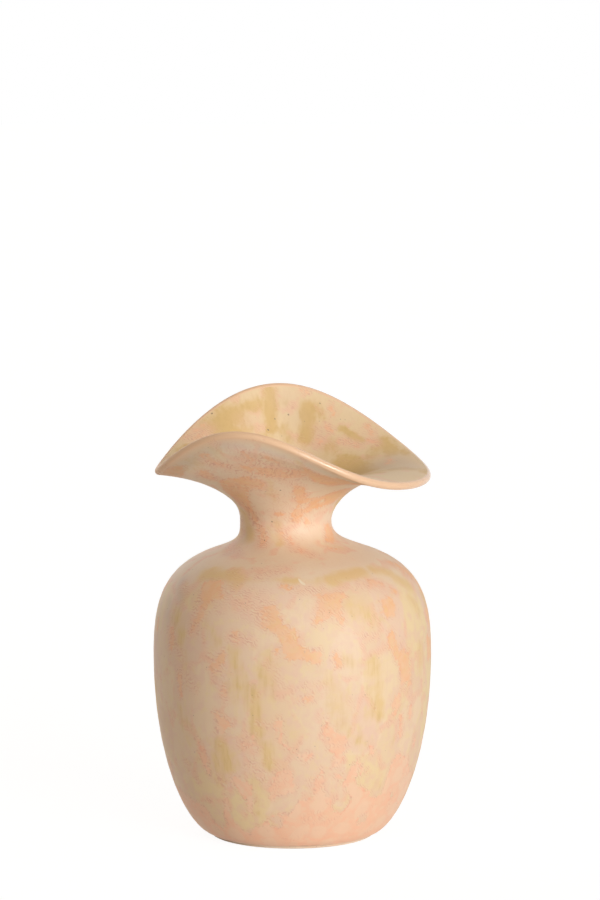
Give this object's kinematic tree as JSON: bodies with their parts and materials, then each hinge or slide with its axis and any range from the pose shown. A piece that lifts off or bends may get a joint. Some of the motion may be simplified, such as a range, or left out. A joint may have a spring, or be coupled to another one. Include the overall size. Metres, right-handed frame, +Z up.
{
  "type": "vase",
  "caption": "Ceramic table vase with a round belly, a narrow neck and a wide ruffled mouth, in a mottled cream and peach glaze.",
  "frame": {"origin": "on the table, at the centre of the foot ring's standing face", "axes": "+Z up out of the mouth; -Y is the front, where the rim has its lower crest; +X is to the right seen from the front, where the rim droops lowest"},
  "size_m": [0.152, 0.1521, 0.2427],
  "materials": {
    "bare_clay": "unglazed fired clay, sponged smooth, matt",
    "clay_body": "fired clay under the glaze, hidden",
    "outer_glaze": "glossy cream glaze broken with peach patches, olive streaks and fine specks",
    "liner_glaze": "glossy yellowish cream glaze with olive streaks and pink flecks"
  },
  "bodies": {
    "root": {"foot_ring": "bare_clay", "base_slab": "bare_clay", "lower_belly": "clay_body", "shoulder": "clay_body", "neck_collar": "clay_body", "flared_mouth": "clay_body", "outer_glaze": "outer_glaze", "liner_glaze": "liner_glaze"}
  },
  "joints": []
}
